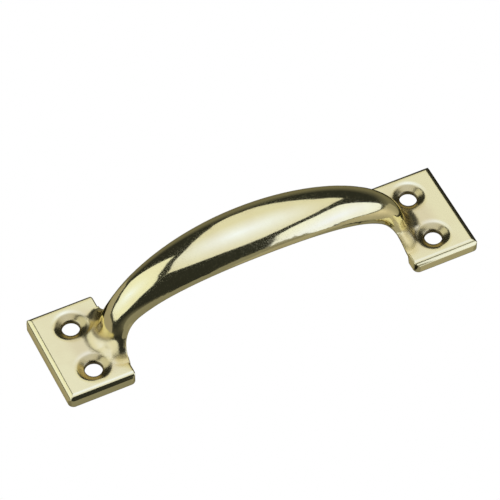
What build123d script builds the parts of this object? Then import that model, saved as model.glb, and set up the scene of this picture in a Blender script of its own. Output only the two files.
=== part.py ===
from build123d import *
import math
import os

# Utility pull stamped from one sheet: two screw flanges and a hollow arched grip.
# Units are millimetres. X runs along the pull, Y across it, Z away from the mounting face (Z = 0).

# Overall sizes
overall_length = 120.65
overall_width = 29.6
overall_height = 30.0
sheet = 1.0

# End flanges with turned-down rims
flange_length = 19.2
rim_height = 3.5
rim_bend = 1.85
inner_bend = 0.5
plan_corner = 1.6

# Screw holes, each in a pressed countersink
hole_from_end = 10.075
hole_from_side = 7.45
hole_diameter = 4.8
sink_diameter = 9.4
sink_depth = 1.2
lip_share = 0.8

# Arched grip
finger_height = 24.4
grip_width = 16.4
neck_width = 7.6
neck_depth = 4.4
side_wall = 1.5
shoulder = 1.4
width_power = 2.2
crown_power = 2.24
edge_power = 2.08

# Flare where the grip runs into the flanges
neck_fillet = 4.2
flare_spread = 7.5
flare_height = 13.0
flare_power = 1.8
side_share = 0.5
foot_spread = 1.2
clear_gap = 0.2
clear_rise = 1.6
clear_slope = 0.8

# Where the sections of the grip are taken
arch_stops = (-58, -48, -36, -24, -12, 0, 12, 24, 36, 48, 58)
leg_stops = (0.78, 0.57, 0.37, 0.18)
fillet_stops = (90, 66, 46, 30, 16)
fillet_exit = 14
fillet_dip = 0.25

# Sizes that follow from the ones above
flange_inner = overall_length / 2 - flange_length
hole_x = overall_length / 2 - hole_from_end
hole_y = overall_width / 2 - hole_from_side
sink_slope = math.atan2(sink_depth, (sink_diameter - hole_diameter) / 2)
lip_room = hole_from_side - rim_bend - sink_diameter / 2
sink_lip = lip_share * lip_room / math.tan(sink_slope / 2)
arch_base = 0.3 * rim_height
edge_a = flange_inner
edge_b = finger_height - arch_base
crown_a = edge_a + neck_depth
crown_b = overall_height - arch_base
cut_past = 3 * sheet


def half_width(z):
    """Half the width over the grip's side walls at height z."""
    rise = min(max((z - arch_base) / edge_b, 0), 1)
    level = max(z, rim_height - sheet)
    flare = flare_spread * max(1 - level / flare_height, 0) ** flare_power
    return neck_width / 2 + (grip_width - neck_width) / 2 * rise ** width_power + flare


def wall_inset(z, inset):
    """Level distance that keeps the wall's thickness where the flare slopes."""
    step = 0.05
    slope = (half_width(z + step) - half_width(z - step)) / (2 * step)
    return inset * math.sqrt(1 + slope ** 2)


def grip_section(edge, crown, inset, drop, spread):
    """Domed section through the grip, from its lower edge point to its crown point."""
    up = (crown - edge).normalized()
    depth = (crown - edge).length
    half = half_width(edge.Z)
    sag = depth - side_wall
    dome = (half ** 2 + sag ** 2) / (2 * sag)
    centre = depth - dome
    side = centre + math.sqrt((dome - inset) ** 2 - (half - inset) ** 2)
    top = depth - inset + spread
    half = half - wall_inset(edge.Z, inset) + side_share * spread
    outline = Wire([
        Line((-half, -drop), (-half, side)),
        ThreePointArc((-half, side), (0, top), (half, side)),
        Line((half, side), (half, -drop)),
        Line((half, -drop), (-half, -drop)),
    ])
    face = Face(outline)
    corners = [v for v in face.vertices() if abs(v.Y - side) < 1e-4]
    face = face.fillet_2d(shoulder - 0.9 * inset, corners)
    plane = Plane(origin=edge, x_dir=(0, 1, 0), z_dir=Vector(0, 1, 0).cross(up))
    return plane * face


def arch_point(angle, half_span, rise, power):
    """Point on an arch curve at an angle from the top of the span."""
    s = math.sin(math.radians(angle))
    c = math.cos(math.radians(angle))
    x = math.copysign(half_span * abs(s) ** (2 / power), s)
    return Vector(x, 0, arch_base + rise * c ** (2 / power))


def leg_point(end, z, half_span, rise, power):
    """Point on an arch curve at height z on one of its legs."""
    low = max(z - arch_base, 0) / rise
    return Vector(end * half_span * (1 - low ** power) ** (1 / power), 0, z)


def arch_section(angle, inset, drop):
    """Section of the arch at an angle from the top of the span."""
    edge = arch_point(angle, edge_a, edge_b, edge_power)
    crown = arch_point(angle, crown_a, crown_b, crown_power)
    return grip_section(edge, crown, inset, drop, 0)


def leg_section(end, z, tilt, spread, inset, drop):
    """Section of a leg with its lower edge at height z and its crown higher by tilt."""
    edge = leg_point(end, z, edge_a, edge_b, edge_power)
    crown = leg_point(end, z + tilt, crown_a, crown_b, crown_power)
    return grip_section(edge, crown, inset, drop, spread)


def leg_sections(end, inset, drop):
    """Sections down one leg, from the arch to just below the flange's top."""
    radius = neck_fillet + inset
    base = rim_height - inset
    high = arch_point(arch_stops[-1], edge_a, edge_b, edge_power).Z
    tilt = arch_point(arch_stops[-1], crown_a, crown_b, crown_power).Z - high
    low = base + radius
    sections = []
    for share in leg_stops:
        sections.append(leg_section(end, low + share * (high - low), share * tilt, 0, inset, drop))
    for stop in fillet_stops:
        a = math.radians(stop)
        z = base + radius * (1 - math.cos(a))
        spread = radius * (1 - math.sin(a))
        sections.append(leg_section(end, z, 0, spread, inset, drop))
    z = z - fillet_dip
    spread = spread + fillet_dip / math.tan(math.radians(fillet_exit))
    sections.append(leg_section(end, z, 0, spread, inset, drop))
    foot = [sections[-1], leg_section(end, -inset, 0, spread + foot_spread, inset, drop)]
    return sections, foot


def grip_body(inset, drop):
    """Filled grip with both legs and their feet inside the flanges."""
    left, left_foot = leg_sections(-1, inset, drop)
    right, right_foot = leg_sections(1, inset, drop)
    middle = [arch_section(angle, inset, drop) for angle in arch_stops]
    body = loft(left[::-1] + middle + right)
    for foot in (left_foot, right_foot):
        body = body + loft(foot, ruled=True)
    return body


def sink_cone(inset):
    """Cone of a pressed countersink, either its seat or its back."""
    r_hole = hole_diameter / 2 + inset
    r_top = sink_diameter / 2 + 0.4 * inset
    return Pos(0, 0, rim_height - inset - sink_depth / 2) * Cone(r_hole, r_top, sink_depth)


def flange_body(inset):
    """Filled flange at the +X end with its bent rims and its countersinks."""
    x0 = flange_inner + inset
    x1 = overall_length / 2 - inset
    y1 = overall_width / 2 - inset
    top = rim_height - inset
    middle = (x0 + x1) / 2
    block = extrude(Pos(middle, 0, -inset) * Rectangle(x1 - x0, 2 * y1), rim_height)
    rims = block.edges().group_by(Axis.Z)[-1].sort_by(Axis.X)[1:]
    block = fillet(rims, rim_bend - inset)
    if inner_bend > inset:
        inner = [e for e in block.edges() if abs(e.center().X - x0) < 1e-3 and abs(e.center().Z - top) < 1e-3]
        block = fillet(inner, inner_bend - inset)
    plan = RectangleRounded(x1 - x0, 2 * y1, plan_corner - 0.9 * inset)
    block = block & extrude(Pos(middle, 0, -inset - rim_height) * plan, 3 * rim_height)
    for y in (-hole_y, hole_y):
        block = block - Pos(hole_x, y, 0) * sink_cone(inset)
    if inset == 0:
        circles = block.edges().filter_by(GeomType.CIRCLE)
        lips = [e for e in circles if abs(e.radius - sink_diameter / 2) < 1e-3]
        block = fillet(lips, sink_lip)
    return block


def sink_clearance(inset):
    """Room that the flare of the grip leaves round a countersink, opening upwards."""
    r = sink_diameter / 2 + clear_gap + (math.hypot(1, clear_slope) - clear_slope) * inset
    top = rim_height - inset
    low = Pos(0, 0, top - rim_height) * Cylinder(r, 2 * rim_height)
    return low + Pos(0, 0, top + clear_rise / 2) * Cone(r, r + clear_slope * clear_rise, clear_rise)


def filled(inset, drop):
    """Whole pull as a filled form, inset by a sheet thickness or not at all."""
    flange = flange_body(inset)
    grip = grip_body(inset, drop)
    for x in (-hole_x, hole_x):
        for y in (-hole_y, hole_y):
            grip = grip - Pos(x, y, 0) * sink_clearance(inset)
    return grip + flange + mirror(flange, Plane.YZ)


pull = filled(0, 0) - filled(sheet, cut_past)

# Screw holes through the bottoms of the countersinks
for x in (-hole_x, hole_x):
    for y in (-hole_y, hole_y):
        pull = pull - Pos(x, y, 0) * Cylinder(hole_diameter / 2, 4 * rim_height)

os.makedirs("parts", exist_ok=True)
export_step(pull, "parts/pull.step")
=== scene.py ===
import math

import bpy
from mathutils import Matrix, Vector

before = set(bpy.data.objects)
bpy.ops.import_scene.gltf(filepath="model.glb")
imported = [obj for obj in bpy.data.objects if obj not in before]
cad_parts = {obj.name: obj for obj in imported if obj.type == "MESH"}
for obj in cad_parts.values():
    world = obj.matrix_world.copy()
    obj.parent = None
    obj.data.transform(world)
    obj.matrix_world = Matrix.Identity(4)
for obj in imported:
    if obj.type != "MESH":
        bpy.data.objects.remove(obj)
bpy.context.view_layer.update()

scene = bpy.context.scene
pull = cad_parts["pull"]

# Camera at the photograph's viewing angle
VIEW_TURN = math.radians(25.86)
VIEW_HEIGHT = math.radians(52.26)
FOCAL_PIXELS = 3509.0
PIXELS_PER_METRE = 3736.0
FRAME_PIXELS = 500.0
ORIGIN_PIXEL = (253.8, 287.6)
SENSOR_MM = 36.0
CLIP_START = 0.01


def add_camera():
    """Camera whose picture puts the part's origin at the same pixel as the photograph."""
    right = Vector((math.cos(VIEW_TURN), -math.sin(VIEW_TURN), 0.0))
    back = Vector((
        -math.sin(VIEW_TURN) * math.cos(VIEW_HEIGHT),
        -math.cos(VIEW_TURN) * math.cos(VIEW_HEIGHT),
        math.sin(VIEW_HEIGHT),
    ))
    up = back.cross(right)
    data = bpy.data.cameras.new("camera")
    data.sensor_width = SENSOR_MM
    data.lens = SENSOR_MM * FOCAL_PIXELS / FRAME_PIXELS
    data.clip_start = CLIP_START
    camera = bpy.data.objects.new("camera", data)
    scene.collection.objects.link(camera)
    place = back * (FOCAL_PIXELS / PIXELS_PER_METRE)
    place -= right * ((ORIGIN_PIXEL[0] - FRAME_PIXELS / 2) / PIXELS_PER_METRE)
    place += up * ((ORIGIN_PIXEL[1] - FRAME_PIXELS / 2) / PIXELS_PER_METRE)
    turn = Matrix((right, up, back)).transposed().to_4x4()
    turn.translation = place
    camera.matrix_world = turn
    scene.camera = camera


# Studio floor and room
FLOOR_SIZE = 6.0
FLOOR_DROP = 0.00005
FLOOR_LIGHT = (1.0, 1.0, 1.0, 1.0)
ROOM_BELOW = (0.20, 0.20, 0.175, 1.0)
ROOM_ABOVE = (0.028, 0.031, 0.031, 1.0)
ROOM_LEAN_TURN = 40.0
ROOM_LEAN = 0.20
ROOM_FADE = (-0.38, 0.0)

# Light of the panels, tables, card and shadows that the brass reflects
OVERHEAD_EDGE = (0.85, 0.88, 0.92, 1.0)
OVERHEAD_MIDDLE = (1.08, 1.26, 2.10, 1.0)
LEFT_EDGE = (0.98, 1.05, 1.10, 1.0)
LEFT_MIDDLE = (1.07, 1.24, 1.85, 1.0)
RIGHT_EDGE = (1.02, 1.12, 1.40, 1.0)
RIGHT_MIDDLE = (1.06, 1.22, 2.12, 1.0)
TABLE_LIGHT = (0.40, 0.39, 0.35, 1.0)
TABLE_NEAR = (0.84, 0.80, 0.74, 1.0)
FRONT_LIGHT = (0.27, 0.27, 0.24, 1.0)
SHADE_LIGHT = (0.012, 0.012, 0.010, 1.0)

# Outlines of the panels: compass turns (0 is +Y, 90 is +X) and heights in degrees, seen from EYE
EYE = Vector((0.0, 0.0, 0.02))
OVERHEAD = (
    (-120, 56.5), (-108, 63), (-84, 67), (-60, 66.5), (-42, 65), (-30, 62.2), (-18, 57.3), (-8, 48.5),
    (0, 38.5), (6, 26), (9.5, 17.5), (12.5, 11.8), (16, 12), (18.4, 15.6), (22, 21), (30, 29.6),
    (34, 32.4), (40, 34.8), (47, 37.8), (54, 37.2), (62, 34.8), (71, 32.5), (76, 37), (82, 41.5),
    (97, 47.5), (112, 50.7), (127, 53.8), (142, 55.2), (152, 55), (165, 56), (188, 57), (210, 57.5),
    (225, 57.5),
)
LEFT = (
    (-131, 0), (-132, 12), (-129, 28), (-126, 40), (-118, 48.3), (-110, 52.5), (-100, 55), (-92, 57),
    (-84, 59), (-60, 60.3), (-54, 59.5), (-47, 58.4), (-36, 56.5), (-26, 53.5), (-28, 44), (-29, 30),
    (-29, 20), (-30, 11), (-45, 11), (-62, 9), (-75, 1.5), (-90, -0.5), (-105, -4.5), (-120, -5.5),
)
RIGHT = (
    (95, 4), (95, 33), (97, 38), (107, 42.3), (112, 43.5), (123, 45), (134, 47.3), (143, 47.3),
    (150, 45.7), (153, 43.2), (155.3, 39), (156.8, 34.5), (159, 31.5), (161, 28), (162, -12),
    (152, -8), (142, -2), (127, -9), (112, -6.8), (97, 0),
)
LEFT_TABLE = (
    (-113, -14), (-105, -9), (-90, -5), (-75, -4), (-62, 1), (-45, 3), (-30, 3), (-12, -15),
    (-12, -62), (-42, -62), (-45, -45), (-113, -45),
)
RIGHT_TABLE = (
    (80, -12), (80, -20), (92, -30), (92, -37), (140, -37), (140, -54), (163, -54), (163, -14),
    (152, -10), (142, -4), (125, -11.3), (108, -8.4), (97, -6), (90, -8),
)
FRONT_TABLE = (
    (163, -10), (163, -54), (140, -54), (140, -37), (92, -37), (92, -62), (170, -66), (245, -62),
    (245, -27), (200, -25), (190, -10),
)
FRONT_CARD = (
    (187, -9.4), (187, 16), (177, 24.7), (166.5, 28.6),
    (156.5, 28.5), (149, 19), (146, 13.6), (146, -7.9),
)

# Soft panels: name, outline, facing, distance, light at the edge and middle, brightest place, reach
SOFT_PANELS = (
    (
        "overhead_panel", OVERHEAD, (0, 90), 1.0,
        OVERHEAD_EDGE, OVERHEAD_MIDDLE, (55, 78), (0.95, 1.1, 1.0),
    ),
    (
        "left_panel", LEFT, (-78, 0), 0.9,
        LEFT_EDGE, LEFT_MIDDLE, (-83, 28), (0.8, 0.8, 0.8),
    ),
    (
        "right_panel", RIGHT, (123, 0), 0.9,
        RIGHT_EDGE, RIGHT_MIDDLE, (132, 20), (1.3, 1.3, 0.75),
    ),
    (
        "right_table", RIGHT_TABLE, (120, -20), 0.6,
        TABLE_LIGHT, TABLE_NEAR, (116, -14), (0.30, 0.30, 0.30),
    ),
)
# Evenly lit panels: name, outline, facing, distance, light
PLAIN_PANELS = (
    ("left_table", LEFT_TABLE, (-70, -20), 0.6, TABLE_LIGHT),
    ("front_table", FRONT_TABLE, (170, -48), 0.6, FRONT_LIGHT),
    ("front_card", FRONT_CARD, (180, 0), 0.12, FRONT_LIGHT),
)
# Shadows beside the flanges: x0, y0, x1, y1 and how high the x1 side rises, in metres
SHADES = (
    (0.0604, -0.0130, 0.0614, 0.0300, 0.0034),
    (0.0405, 0.0149, 0.0604, 0.0300, 0.0),
    (-0.0610, 0.0149, -0.0405, 0.0300, 0.0),
    (0.0365, -0.0270, 0.0408, -0.0135, 0.0),
    (0.0365, -0.0080, 0.0411, 0.0120, 0.0),
)


def direction(turn, height):
    """Unit vector for a compass turn and a height in degrees."""
    t = math.radians(turn)
    h = math.radians(height)
    return Vector((math.sin(t) * math.cos(h), math.cos(t) * math.cos(h), math.sin(h)))


def panel_point(facing, distance, turn, height):
    """Point of a panel, at a distance across its facing direction, seen in a given direction."""
    ray = direction(turn, height)
    return EYE + ray * (distance / ray.dot(direction(*facing)))


def plain_glow(name, colour):
    """Material that glows evenly."""
    material = bpy.data.materials.new(name)
    material.use_nodes = True
    nodes = material.node_tree.nodes
    nodes.clear()
    glow = nodes.new("ShaderNodeEmission")
    glow.inputs["Color"].default_value = colour
    out = nodes.new("ShaderNodeOutputMaterial")
    material.node_tree.links.new(glow.outputs["Emission"], out.inputs["Surface"])
    return material


def soft_glow(name, edge, middle, centre, reach):
    """Glow that is strongest at a centre point and falls off within a reach on each axis."""
    material = plain_glow(name, edge)
    nodes = material.node_tree.nodes
    links = material.node_tree.links
    coords = nodes.new("ShaderNodeTexCoord")
    mapping = nodes.new("ShaderNodeMapping")
    mapping.inputs["Scale"].default_value = [1 / r for r in reach]
    mapping.inputs["Location"].default_value = [-c / r for c, r in zip(centre, reach)]
    gradient = nodes.new("ShaderNodeTexGradient")
    gradient.gradient_type = "QUADRATIC_SPHERE"
    mix = nodes.new("ShaderNodeMix")
    mix.data_type = "RGBA"
    mix.inputs["A"].default_value = edge
    mix.inputs["B"].default_value = middle
    links.new(coords.outputs["Object"], mapping.inputs["Vector"])
    links.new(mapping.outputs["Vector"], gradient.inputs["Vector"])
    links.new(gradient.outputs["Fac"], mix.inputs["Factor"])
    links.new(mix.outputs["Result"], nodes["Emission"].inputs["Color"])
    return material


def add_plate(name, corners, material):
    """Flat piece of the studio."""
    mesh = bpy.data.meshes.new(name)
    mesh.from_pydata([tuple(c) for c in corners], [], [list(range(len(corners)))])
    mesh.materials.append(material)
    plate = bpy.data.objects.new(name, mesh)
    scene.collection.objects.link(plate)
    return plate


def add_panel(name, corners, material):
    """Flat piece of the studio that only reflections see."""
    panel = add_plate(name, corners, material)
    panel.visible_camera = False
    panel.visible_diffuse = False


def add_panels():
    """Soft panels with a brighter middle, evenly lit panels and the shadows beside the flanges."""
    for name, outline, facing, distance, edge, middle, centre, reach in SOFT_PANELS:
        corners = [panel_point(facing, distance, *corner) for corner in outline]
        brightest = panel_point(facing, distance, *centre)
        add_panel(name, corners, soft_glow(name, edge, middle, brightest, reach))
    for name, outline, facing, distance, colour in PLAIN_PANELS:
        corners = [panel_point(facing, distance, *corner) for corner in outline]
        add_panel(name, corners, plain_glow(name, colour))
    for number, (x0, y0, x1, y1, rise) in enumerate(SHADES):
        name = "shade_%d" % number
        corners = ((x0, y0, 0), (x1, y0, rise), (x1, y1, rise), (x0, y1, 0))
        add_panel(name, corners, plain_glow(name, SHADE_LIGHT))


def add_floor():
    """Pale floor just under the mounting plane."""
    half = FLOOR_SIZE / 2
    signs = ((-1, -1), (1, -1), (1, 1), (-1, 1))
    corners = [(x * half, y * half, -FLOOR_DROP) for x, y in signs]
    floor = add_plate("floor", corners, plain_glow("floor", FLOOR_LIGHT))
    floor.visible_glossy = False


def add_room():
    """Dark room above a leaning horizon and a dim table top below it."""
    world = bpy.data.worlds.new("room")
    world.use_nodes = True
    scene.world = world
    nodes = world.node_tree.nodes
    links = world.node_tree.links
    nodes.clear()
    coords = nodes.new("ShaderNodeTexCoord")
    lean = nodes.new("ShaderNodeVectorMath")
    lean.operation = "DOT_PRODUCT"
    lean.inputs[1].default_value = Vector((0, 0, 1)) - ROOM_LEAN * direction(ROOM_LEAN_TURN, 0)
    ramp = nodes.new("ShaderNodeMapRange")
    ramp.inputs["From Min"].default_value = ROOM_FADE[0]
    ramp.inputs["From Max"].default_value = ROOM_FADE[1]
    mix = nodes.new("ShaderNodeMix")
    mix.data_type = "RGBA"
    mix.inputs["A"].default_value = ROOM_BELOW
    mix.inputs["B"].default_value = ROOM_ABOVE
    background = nodes.new("ShaderNodeBackground")
    out = nodes.new("ShaderNodeOutputWorld")
    links.new(coords.outputs["Generated"], lean.inputs[0])
    links.new(lean.outputs["Value"], ramp.inputs["Value"])
    links.new(ramp.outputs["Result"], mix.inputs["Factor"])
    links.new(mix.outputs["Result"], background.inputs["Color"])
    links.new(background.outputs["Background"], out.inputs["Surface"])


# Colours of the brass plate on the grip, seen edge on, where it is warmer, and in the holes, with
# painted shade on the flares and a ring of painted shade at each hole's cut edge
BRASS = (0.86, 0.77, 0.42, 1.0)
BRASS_EDGE = (0.82, 0.76, 0.56, 1.0)
BRASS_WARM = (0.80, 0.68, 0.37, 1.0)
# Painted shade that dims bright reflections on the flares where the necks meet the flanges
FLARE_PAINTED_SHADE = (0.80, 0.64, 0.25, 1.0)
BRASS_SINK = (0.59, 0.49, 0.24, 1.0)
# Dark ring at each hole's cut edge: painted shade of the hole wall
CUT_EDGE_SHADE = (0.20, 0.16, 0.08, 1.0)

# Roughness: polished grip and rims, satin flats and necks, dull flares and countersinks
ROUGH_GRIP = (0.056, 0.084)
ROUGH_RIM = 0.09
ROUGH_FLAT = 0.15
ROUGH_NECK = 0.26
ROUGH_FLARE = 0.36
ROUGH_SINK = 0.20
ROUGH_PIT = 0.27

# Radius over which edges look eased, in metres
EASED_EDGE = 0.0004
EASED_NECK = 0.0014
EASED_SAMPLES = 8

# Zones in the first quarter of the plan, mirrored to the rest: centre, reach, share that fades
HOLE_PLACE = (0.05025, 0.00735, 0.0)
FLANGE_ZONE = ((0.1412, 0.0, 0.0), (0.1, 1.0, 1.0), 0.01)
FLAT_ZONE = ((0.0, 0.0, 0.0035), (1.0, 1.0, 0.0003), 0.6)
NECK_ZONE = ((0.0465, 0.0, 0.0030), (0.0090, 0.0140, 0.0075), 0.45)
SINK_ZONE = (HOLE_PLACE, (0.0046, 0.0046, 1.0), 0.12)
# Ring of painted shade at each hole's cut edge
CUT_EDGE_SHADE_ZONE = (HOLE_PLACE, (0.00272, 0.00272, 1.0), 0.06)

# Flare zones that are not mirrored, made duller and darkened with painted shade: centre, reach, share
# that fades
FLARE_DULL_AND_SHADE_ZONES = (
    ((0.0418, -0.0080, 0.0052), (0.0046, 0.0048, 0.0044), 0.6),
    ((-0.0423, -0.0090, 0.0040), (0.0034, 0.0026, 0.0017), 0.6),
)

# Fine texture: stretch on each axis, scale and detail of the noise
CLOUD_NOISE = ((1, 1, 1), 130.0, 3.0)
PIT_NOISE = ((1, 1, 1), 5200.0, 2.0)
LINE_NOISE = ((40, 2600, 2600), 1.0, 2.0)

# Spans of the noise that the finish follows, and the depth of its relief in metres
CLOUD_SPAN = (0.3, 0.7)
WARM_SPAN = (0.45, 0.75)
WARM_SHARE = (0.0, 0.6)
PIT_SPAN = (0.56, 0.68)
PIT_SHARE = (0.0, 1.0)
LINE_DEPTH = 0.0000012
CLOUD_DEPTH = 0.000012


def zone(tree, place, centre, reach, rim):
    """Mask that is 1 inside an ellipsoid and fades to 0 over its rim, a share of its reach."""
    shift = tree.nodes.new("ShaderNodeVectorMath")
    shift.operation = "SUBTRACT"
    shift.inputs[1].default_value = centre
    shrink = tree.nodes.new("ShaderNodeVectorMath")
    shrink.operation = "MULTIPLY"
    shrink.inputs[1].default_value = [1 / r for r in reach]
    size = tree.nodes.new("ShaderNodeVectorMath")
    size.operation = "LENGTH"
    fade = tree.nodes.new("ShaderNodeMapRange")
    fade.interpolation_type = "SMOOTHSTEP"
    fade.inputs["From Min"].default_value = 1.0
    fade.inputs["From Max"].default_value = 1.0 - rim
    tree.links.new(place, shift.inputs[0])
    tree.links.new(shift.outputs["Vector"], shrink.inputs[0])
    tree.links.new(shrink.outputs["Vector"], size.inputs[0])
    tree.links.new(size.outputs["Value"], fade.inputs["Value"])
    return fade.outputs["Result"]


def noise(tree, place, stretch, scale, detail):
    """Noise over the part, stretched along each axis."""
    mapping = tree.nodes.new("ShaderNodeMapping")
    mapping.inputs["Scale"].default_value = stretch
    texture = tree.nodes.new("ShaderNodeTexNoise")
    texture.inputs["Scale"].default_value = scale
    texture.inputs["Detail"].default_value = detail
    tree.links.new(place, mapping.inputs["Vector"])
    tree.links.new(mapping.outputs["Vector"], texture.inputs["Vector"])
    return texture.outputs["Fac"]


def spread(tree, value, span, target):
    """Value carried from one span to another, held at the ends."""
    node = tree.nodes.new("ShaderNodeMapRange")
    node.inputs["From Min"].default_value = span[0]
    node.inputs["From Max"].default_value = span[1]
    node.inputs["To Min"].default_value = target[0]
    node.inputs["To Max"].default_value = target[1]
    tree.links.new(value, node.inputs["Value"])
    return node.outputs["Result"]


def blend(tree, kind, base, other, mask):
    """Base (a socket or a constant) that turns into another constant where the mask is 1."""
    node = tree.nodes.new("ShaderNodeMix")
    node.data_type = kind
    pins = [pin for pin in node.inputs if pin.enabled and pin.name in ("A", "B")]
    if isinstance(base, bpy.types.NodeSocket):
        tree.links.new(base, pins[0])
    else:
        pins[0].default_value = base
    pins[1].default_value = other
    factor = [pin for pin in node.inputs if pin.enabled and pin.name == "Factor"][0]
    tree.links.new(mask, factor)
    return [pin for pin in node.outputs if pin.enabled][0]


def bump(tree, height, depth, normal):
    """Relief of a given depth in metres, laid over an earlier normal."""
    node = tree.nodes.new("ShaderNodeBump")
    node.inputs["Distance"].default_value = depth
    tree.links.new(height, node.inputs["Height"])
    tree.links.new(normal, node.inputs["Normal"])
    return node.outputs["Normal"]


def brass_material():
    """Brass plate whose finish changes from the grip to the flats, necks and countersinks, with
    painted shade on the flares and at the holes' cut edges.
    """
    material = bpy.data.materials.new("polished_brass")
    material.use_nodes = True
    tree = material.node_tree
    shader = tree.nodes["Principled BSDF"]
    coords = tree.nodes.new("ShaderNodeTexCoord")
    place = coords.outputs["Object"]
    fold = tree.nodes.new("ShaderNodeVectorMath")
    fold.operation = "ABSOLUTE"
    tree.links.new(place, fold.inputs[0])
    quarter = fold.outputs["Vector"]

    flange = zone(tree, quarter, *FLANGE_ZONE)
    flat = zone(tree, quarter, *FLAT_ZONE)
    neck = zone(tree, quarter, *NECK_ZONE)
    sink = zone(tree, quarter, *SINK_ZONE)
    cut_edge_shade = zone(tree, quarter, *CUT_EDGE_SHADE_ZONE)
    cloud = noise(tree, place, *CLOUD_NOISE)
    pits = spread(tree, noise(tree, place, *PIT_NOISE), PIT_SPAN, PIT_SHARE)
    lines = noise(tree, place, *LINE_NOISE)
    warm = spread(tree, cloud, WARM_SPAN, WARM_SHARE)

    rough = spread(tree, cloud, CLOUD_SPAN, ROUGH_GRIP)
    rough = blend(tree, "FLOAT", rough, ROUGH_PIT, pits)
    rough = blend(tree, "FLOAT", rough, ROUGH_RIM, flange)
    rough = blend(tree, "FLOAT", rough, ROUGH_FLAT, flat)
    rough = blend(tree, "FLOAT", rough, ROUGH_NECK, neck)
    rough = blend(tree, "FLOAT", rough, ROUGH_SINK, sink)

    colour = blend(tree, "RGBA", BRASS, BRASS_WARM, warm)
    colour = blend(tree, "RGBA", colour, BRASS_WARM, neck)
    colour = blend(tree, "RGBA", colour, BRASS_SINK, sink)
    # Painted shade in a dark ring at each hole's cut edge
    colour = blend(tree, "RGBA", colour, CUT_EDGE_SHADE, cut_edge_shade)

    # Flares: duller finish, and painted shade that dims their reflections
    for flare_zone in FLARE_DULL_AND_SHADE_ZONES:
        flare_dull_and_shade = zone(tree, place, *flare_zone)
        rough = blend(tree, "FLOAT", rough, ROUGH_FLARE, flare_dull_and_shade)
        colour = blend(tree, "RGBA", colour, FLARE_PAINTED_SHADE, flare_dull_and_shade)

    eased = tree.nodes.new("ShaderNodeBevel")
    eased.samples = EASED_SAMPLES
    tree.links.new(blend(tree, "FLOAT", EASED_EDGE, EASED_NECK, neck), eased.inputs["Radius"])
    normal = bump(tree, lines, LINE_DEPTH, eased.outputs["Normal"])
    normal = bump(tree, cloud, CLOUD_DEPTH, normal)

    shader.inputs["Metallic"].default_value = 1.0
    shader.inputs["Specular Tint"].default_value = BRASS_EDGE
    tree.links.new(colour, shader.inputs["Base Color"])
    tree.links.new(rough, shader.inputs["Roughness"])
    tree.links.new(normal, shader.inputs["Normal"])
    return material


add_camera()
add_floor()
add_room()
add_panels()

pull.data.materials.clear()
pull.data.materials.append(brass_material())

scene.view_settings.view_transform = "Standard"
